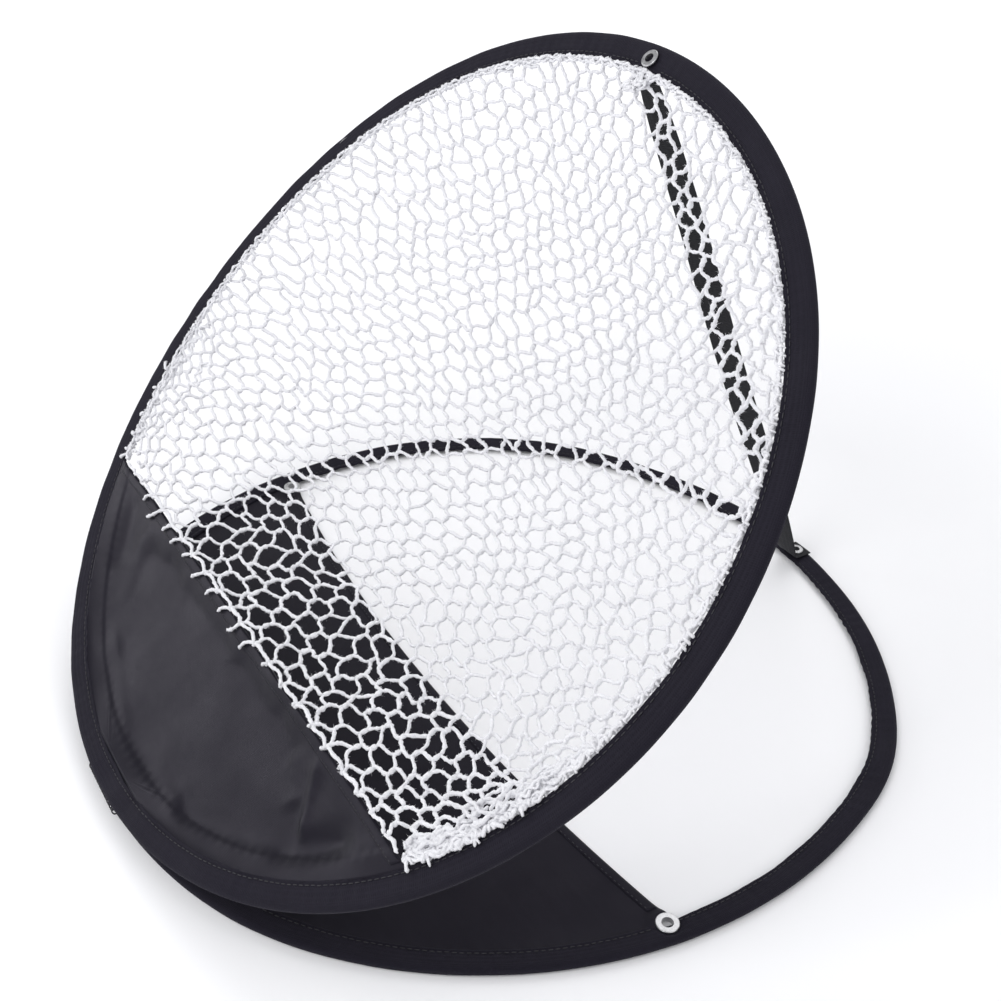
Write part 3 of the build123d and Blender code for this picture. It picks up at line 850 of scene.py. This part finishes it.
def net_meshes(knots, draw):
    """The (path, radius) of every leg and knot, and the knots' places."""
    paths = []
    used = set()
    for (i, j), knot in knots.items():
        x, y = knot[:2]
        inside = math.hypot(x, y) < NET_R - 1.5 and y > APRON_Y - 3
        for step in ((0, -1) if j % 2 == 0 else (0, 1)):
            above = (i + step, j + 1)
            if above not in knots:
                continue
            above_inside = math.hypot(*knots[above][:2]) < NET_R - 1.5
            if not inside and not above_inside:
                continue
            leg = mesh_leg(knot, knots[above], draw)
            if not (inside and above_inside):
                leg = leg[np.hypot(leg[:, 0], leg[:, 1]) < NET_R]
                if len(leg) < 3:
                    continue
            if inside:
                used.add((i, j))
            if above_inside:
                used.add(above)
            paths.append((net_world(*leg.T), 0.96 * draw.uniform(0.88, 1.14)))
    # the short doubled stretch through each knot
    part = np.linspace(-1, 1, 5)
    for key in used:
        x, y, height, stem, lean = knots[key]
        paths.append((net_world(x + part * lean * 0.5, y + part * (stem + 0.5), height),
                      1.28 * draw.uniform(0.92, 1.12)))
    return paths, [net_world(*knots[key][:3]) for key in used]


# ------------------------------------------------------------------ the net's edge
# Each function yields (path, radius) cords.
def border_strands():
    """Three wandering strands along the rim, in short lengths."""
    angles = np.linspace(-APRON_END + 0.01, APRON_END - 0.01, 1200)
    for strand, level in enumerate((1.4, -0.6, 0.4)):
        radius = NET_R - 0.7 * strand + 0.8 * wobble(angles, range(60, 260, 17), 60 + strand)
        height = level + 0.7 * wobble(angles, range(70, 270, 19), 70 + strand)
        path = rim_world(angles, radius, height)
        for i in range(0, 1199, 60):
            yield path[i:i + 61], 0.8


def whipping_loops(draw):
    """Small bumps where the net is whipped to the sleeve."""
    count = 250
    part = np.linspace(0, 1, 9)
    for i in range(count):
        middle = (-APRON_END + 0.02
                  + (2 * APRON_END - 0.04) * (i + draw.uniform(-0.4, 0.4)) / count)
        radius = 237.6 + (draw.uniform(0.2, 1.5) + 1.6) * np.sin(math.pi * part)
        height = np.clip(2.1 * np.cos(math.pi * part) + 0.1, -2.2, 2.4)
        angle = middle + (part - 0.5) * draw.uniform(0.002, 0.012)
        yield rim_world(angle, radius, height), draw.uniform(0.5, 0.8)


def slack_folds(side, draw):
    """Slack net drawn into long wavy folds beside the rim."""
    part = np.linspace(0, 1, 26)
    for _ in range(38 if side > 0 else 6):
        inward = draw.uniform(0, 1) ** 1.1
        start = BUNCH_START + (BUNCH_END - BUNCH_START) * draw.uniform(0.0, 1.0)
        fade = smoothstep((start - BUNCH_START) / 0.28)
        narrowing = 1.0 - 0.72 * smoothstep((start - math.radians(108)) / 0.28)
        dip = 1.5 + 27.0 * inward * narrowing * (0.3 + 0.7 * fade)
        span = draw.uniform(0.035, 0.13) * draw.choice([-1, 1])
        angle = np.clip(start + span * part, BUNCH_START - 0.05, BUNCH_END)
        wave_height = draw.uniform(0.9, 2.3)
        phase = part * abs(span) * 240 / draw.uniform(1.3, 2.0) + draw.uniform(0, 6)
        radius = 239.0 - dip + wave_height * np.sin(phase) + draw.normal(0, 1.5) * part
        y = np.maximum(radius * np.cos(angle), APRON_Y + 1.2)
        height = (draw.uniform(-0.5, 2.2) * (1 - inward)
                  + 0.7 * np.sin(part * 9 + draw.uniform(0, 6)))
        yield net_world(side * (radius * np.sin(angle)), y, height), draw.uniform(0.8, 1.1)


def rim_rope(side, draw):
    """The rope of net tied along the sleeve's edge."""
    part = np.linspace(0, 1, 18)
    for _ in range(30 if side > 0 else 6):
        start = ROPE_START + (BUNCH_END - ROPE_START) * draw.uniform(0, 1)
        span = draw.uniform(0.03, 0.09) * draw.choice([-1, 1])
        angle = np.clip(start + span * part, BUNCH_START, BUNCH_END)
        radius = draw.uniform(232.5, 240.2) + 1.1 * np.sin(part * 11 + draw.uniform(0, 6))
        height = 1.5 + draw.uniform(-1.6, 1.2) + 0.7 * np.sin(6 * part + draw.uniform(0, 6))
        height = np.maximum(height, np.where(radius > 239.0, 2.5, -3))   # clear of the sleeve
        yield rim_world(side * angle, np.minimum(radius, 241.0), height), draw.uniform(0.75, 1.1)


def cut_ends(side, draw):
    """Cut ends lying over the sleeve."""
    first = math.radians(106.5)
    part = np.linspace(0, 1, 7)
    for _ in range(24 if side > 0 else 6):
        start = first + (BUNCH_END - first) * draw.uniform(0, 1)
        length = 2.2 + draw.uniform(0.0, 1.0) ** 2 * 4.2
        yield (rim_world(side * (start + draw.normal(0, 0.014) * part), 238.0 + length * part,
                         2.6 + 0.9 * np.sin(math.pi * part)), draw.uniform(0.7, 1.1))


def top_tie(draw):
    """The tangle of cord below the top eyelet."""
    part = np.linspace(0, 1, 12)
    for _ in range(22):
        phase = draw.uniform(0, 6.28)
        x = draw.uniform(-6, 6) + draw.uniform(2, 5) * np.sin(5 * part + phase)
        y = 231.0 + draw.uniform(-4, 6) + draw.uniform(1, 3.5) * np.cos(4 * part + phase)
        yield (rim_world(np.arctan2(x, y), np.minimum(np.hypot(x, y), 239.8),
                         0.6 + 1.2 * np.sin(6 * part + phase)), draw.uniform(0.7, 1.0))


def apron_tips(tips, draw):
    """Cut mesh legs lying over the apron's edge, from each (x, y) tip."""
    part = np.linspace(0, 1, 14)
    for x, y in tips:
        length = draw.uniform(8.5, 13.0) if -160 < x < 25 else draw.uniform(0.8, 3.6)
        step_x, step_y = -0.64 + draw.normal(0, 0.16), -0.77 + draw.normal(0, 0.1)
        curl = draw.normal(0, 2.4)
        leg_x = x + step_x * length * part + curl * np.sin(2.6 * part) * 0.6
        leg_y = y + step_y * length * part - curl * np.sin(2.6 * part) * 0.5
        height = height_at_edge(leg_x) + 1.9 + 1.2 * np.sin(math.pi * part) * part
        yield flat_target(leg_x, leg_y + edge_shift(leg_x), height), 1.0


def apron_scallops(tips, draw):
    """The edge strand, scalloped from knot to knot along the apron."""
    part = np.linspace(0, 1, 15)
    tip_x = sorted(x for x, _ in tips)
    for x0, x1 in zip(tip_x[:-1], tip_x[1:]):
        x = x0 + (x1 - x0) * part
        y = (APRON_Y + 1.0 + draw.uniform(0.6, 2.2) * np.sin(math.pi * part)
             + 0.5 * np.sin(part * 9 + draw.uniform(0, 6)))
        height = height_at_edge(x) + 1.5 + 0.4 * np.sin(part * 7)
        yield flat_target(x, y + edge_shift(x), height), draw.uniform(0.9, 1.1)


def net_edge(knots):
    draw = np.random.default_rng(91)
    paths = list(border_strands())
    paths.extend(whipping_loops(draw))
    for side in (1, -1):
        for gather in (slack_folds, rim_rope, cut_ends):
            paths.extend(gather(side, draw))
    paths.extend(top_tie(draw))
    tips = [knots[(i, 0)][:2] for i in range(-11, 12) if abs(knots[(i, 0)][0]) <= 203]
    paths.extend(apron_tips(tips, draw))
    paths.extend(apron_scallops(tips, draw))
    return paths


# ------------------------------------------------------------------ cord
CORD_SIDES = 7
KNOT_SIDES, KNOT_BANDS = 7, 5
FIBRES_PER_MM = 12 / 13.0


def cord_shell(path, radius, draw):
    """The rings of one twisted cord, and the points of its loose fibres."""
    direction = along(path)
    count = len(path)
    side = unit(np.cross(direction, NORMAL))
    up = np.cross(direction, side)
    travelled = distances(path)
    twist = travelled * 1.5 + draw.uniform(0, 6.28)
    uneven = (1 + 0.12 * draw.normal(size=(count, 1)).clip(-2, 2)
              + 0.17 * np.cos(2 * turns(CORD_SIDES) - twist[:, None])
              + 0.09 * draw.normal(size=(count, CORD_SIDES)))
    ring_r = radius * uneven
    ring_r[[0, -1]] *= 0.6
    rings = rings_about(path, ring_r[..., None], side, up, CORD_SIDES).reshape(-1, 3)

    fibres = []
    foot = 0.15
    for _ in range(int(draw.poisson(travelled[-1] * FIBRES_PER_MM))):
        i = draw.integers(0, count - 1)
        angle = draw.uniform(0, TURN)
        out = math.cos(angle) * side[i] + math.sin(angle) * up[i]
        tip = path[i] + out * radius * draw.uniform(1.4, 2.6) + direction[i] * draw.normal(0, 1.0)
        root = path[i] + out * radius * 0.6
        wide = unit(np.cross(out, direction[i])) * foot
        behind = root - direction[i] * foot * 0.5
        fibres += [root + direction[i] * foot, behind + wide, behind - wide, tip]
    return rings, fibres


def knot_shell(centre, draw):
    """A small lumpy ball."""
    angles = turns(KNOT_SIDES)[:, None]
    radius = draw.uniform(1.15, 1.55)
    axis = unit(draw.normal(size=3))
    side = unit(np.cross(axis, [0.3, 0.5, 0.8]))
    up = np.cross(axis, side)
    points = [centre + axis * radius * 0.95]
    for i in range(1, KNOT_BANDS):
        tilt = math.pi * i / KNOT_BANDS
        lumps = 1 + 0.16 * draw.normal(size=KNOT_SIDES).clip(-1.6, 1.6)
        band_r = (radius * math.sin(tilt) * lumps)[:, None]
        points.extend(centre + axis * radius * math.cos(tilt) * 0.95
                      + band_r * (np.cos(angles) * side + np.sin(angles) * up))
    points.append(centre - axis * radius * 0.95)
    return np.array(points)


def knot_faces(start):
    faces = []
    last_band = start + 1 + (KNOT_BANDS - 2) * KNOT_SIDES
    for i in range(KNOT_SIDES):
        after = (i + 1) % KNOT_SIDES
        faces.append([start, start + 1 + i, start + 1 + after])
        for j in range(KNOT_BANDS - 2):
            band = start + 1 + j * KNOT_SIDES
            below = band + KNOT_SIDES
            faces.append([band + i, below + i, below + after, band + after])
        faces.append([last_band + i, last_band + KNOT_SIDES, last_band + after])
    return faces


def cords(name, paths, seed, knots_at, replaced):
    """Twisted, fuzzy cords, small knots and loose fibres. Every shell is closed."""
    draw = np.random.default_rng(seed)
    shells, faces, fibres = [], [], []
    start = 0
    for path, radius in paths:
        rings, loose = cord_shell(path, radius, draw)
        shells.append(rings)
        fibres += loose
        faces += tube_faces(len(path), CORD_SIDES, start)
        start += len(rings)
    for centre in knots_at:
        shells.append(knot_shell(centre, draw))
        faces += knot_faces(start)
        start += len(shells[-1])
    if fibres:
        shells.append(np.array(fibres))
    for i in range(start, start + len(fibres), 4):
        faces += [[i, i + 1, i + 3], [i + 1, i + 2, i + 3], [i + 2, i, i + 3], [i, i + 2, i + 1]]
    piece = make_mesh(name, np.concatenate(shells), faces)
    dress(piece, CORD, "target", replaced)
    return piece


net_draw = np.random.default_rng(41)
net_knots = place_knots(net_draw)
net_paths, knot_places = net_meshes(net_knots, net_draw)
net = cords("net_pouch_cord", net_paths, 101, knot_places, "net_pouch")
cords("net_border_lacing", net_edge(net_knots), 103, (), "net_border_cord")
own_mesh(net)


# ------------------------------------------------------------------ the strap
def strap():
    """A tape from the top of the target hoop down to the back of the base hoop."""
    width, thickness = 16.0, 1.0
    top_height = -4.2 + 0.55            # tape's middle, behind the target hoop
    rear_z = 6.65                       # tape's middle, over the base hoop
    tab_points = 14
    part = np.linspace(0, 1, 160)
    top_bend = flat_target(0, 238.0, top_height)
    rear_bend = np.array([REAR_X, 237.4, rear_z])
    run = top_bend + (rear_bend - top_bend) * part[:, None]
    run += (0.9 * np.sin(part * 9.0) * np.sin(math.pi * part))[:, None] * np.array([0.2, 0.9, 0.35])
    top_tab = flat_target(0, np.linspace(252.2, 239.0, tab_points), top_height)
    rear_tab = np.array([[REAR_X, y, rear_z] for y in np.linspace(238.4, 251.6, tab_points)])
    line = np.concatenate([top_tab, run, rear_tab])
    for _ in range(3):                  # soften the two bends
        line[10:20] = (line[9:19] + line[10:20] + line[11:21]) / 3
        line[-20:-10] = (line[-21:-11] + line[-20:-10] + line[-19:-9]) / 3
    direction = along(line)
    side = unit(ACROSS - direction * (direction @ ACROSS)[:, None])
    up = np.cross(direction, side)
    # between its ends the tape turns its flat face most of the way to the camera
    facing = unit(np.cross(direction, unit(np.round(CAMERA_AT, 1) - line)))
    facing = facing * np.sign((facing * side).sum(1))[:, None]
    wanted = np.arctan2((facing * up).sum(1), (facing * side).sum(1))
    progress = np.concatenate([np.zeros(tab_points), part, np.ones(tab_points)])
    turn = (wanted * 0.85 * np.clip(np.sin(math.pi * progress), 0, 1) ** 0.5)[:, None]
    across = side * np.cos(turn) + up * np.sin(turn)
    piece = ribbon("opening_strap_tape", line, across, np.cross(direction, across),
                   width, thickness)
    dress(piece, STRAP_TAPE, None, "opening_strap")
    tuple(flat_target(0, 238.0, -6) * MM)
    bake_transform(piece)


strap()


# ------------------------------------------------------------------ floor, light, camera (m)
def paper_floor():
    """A pale floor that glows more with distance from the middle."""
    bpy.ops.mesh.primitive_plane_add(size=18, location=(0, 0, -0.0006))
    floor = bpy.context.object
    floor.name = "floor"
    material, tree, shader = new_material("floor_paper")
    vector = coords(tree)
    colour = ramp(tree, noise(tree, vector, scale=3.0, detail=3.0, roughness=0.55),
                  [(0.3, (0.93, 0.93, 0.95)), (0.7, (0.96, 0.96, 0.975))])
    tree.links.new(colour, shader.inputs["Base Color"])
    distance = tree.nodes.new("ShaderNodeVectorMath")
    distance.operation = "LENGTH"
    tree.links.new(vector, distance.inputs[0])
    glow = tree.nodes.new("ShaderNodeMapRange")
    set_inputs(glow, {"From Min": 0.45, "From Max": 2.4, "To Min": 0.0, "To Max": 0.42})
    tree.links.new(distance.outputs["Value"], glow.inputs["Value"])
    tree.links.new(glow.outputs["Result"], shader.inputs["Emission Strength"])
    set_inputs(shader, {"Roughness": 0.9, "Specular IOR Level": 0.1,
                        "Emission Color": (0.985, 0.99, 1.0, 1)})
    floor.data.materials.append(material)


def studio_world():
    """Even light, and a backdrop that only the camera sees: white low down, greyer above."""
    world = bpy.data.worlds.new("studio")
    bpy.context.scene.world = world
    world.use_nodes = True
    tree = world.node_tree
    background = tree.nodes["Background"]
    set_inputs(background, {"Color": (0.98, 0.985, 1.0, 1), "Strength": 0.64})
    backdrop = tree.nodes.new("ShaderNodeBackground")
    texture = tree.nodes.new("ShaderNodeTexCoord")
    split = tree.nodes.new("ShaderNodeSeparateXYZ")
    tree.links.new(texture.outputs["Generated"], split.inputs[0])
    shade = ramp(tree, split.outputs["Z"], [(0.0, (1.0, 1.0, 1.0)), (0.16, (0.70, 0.71, 0.73))])
    tree.links.new(shade, backdrop.inputs[0])
    ray = tree.nodes.new("ShaderNodeLightPath")
    mix = tree.nodes.new("ShaderNodeMixShader")
    tree.links.new(ray.outputs["Is Camera Ray"], mix.inputs[0])
    tree.links.new(background.outputs[0], mix.inputs[1])
    tree.links.new(backdrop.outputs[0], mix.inputs[2])
    tree.links.new(mix.outputs[0], tree.nodes["World Output"].inputs[0])


def area_light(name, location, aim, size, power):
    light = bpy.data.lights.new(name, "AREA")
    light.energy = power
    light.size = size
    lamp = bpy.data.objects.new(name, light)
    bpy.context.scene.collection.objects.link(lamp)
    lamp.location = location
    lamp.rotation_euler = (Vector(aim) - Vector(location)).to_track_quat("-Z", "Y").to_euler()


def add_camera():
    right = Vector((0.51938, 0.85429, 0.02062))
    up = Vector((-0.48723, 0.27622, 0.82844))
    forward = Vector((-0.70204, 0.44032, -0.55970))
    lens = bpy.data.cameras.new("camera")
    camera = bpy.data.objects.new("camera", lens)
    bpy.context.scene.collection.objects.link(camera)
    rotation = Matrix((right, up, -forward)).transposed().to_4x4()
    camera.matrix_world = Matrix.Translation(Vector(CAMERA_AT * MM)) @ rotation
    lens.sensor_width = 36.0
    lens.lens = 47.066134
    lens.shift_x = 0.0085
    lens.clip_start = 0.01
    lens.clip_end = 60
    bpy.context.scene.camera = camera


paper_floor()
studio_world()
area_light("key", (0.2, -1.5, 1.7), aim=(0, 0, 0.1), size=0.9, power=17)
area_light("fill", (1.7, 0.2, 1.2), aim=(0, 0, 0.15), size=1.2, power=6)
area_light("back", (-0.9, 1.0, 1.9), aim=(0, 0, 0.1), size=1.5, power=11)
area_light("satin", (-1.25, -1.15, 0.62), aim=(0, -0.15, 0.1), size=0.42, power=5.5)
add_camera()
bpy.context.scene.view_settings.view_transform = "Standard"
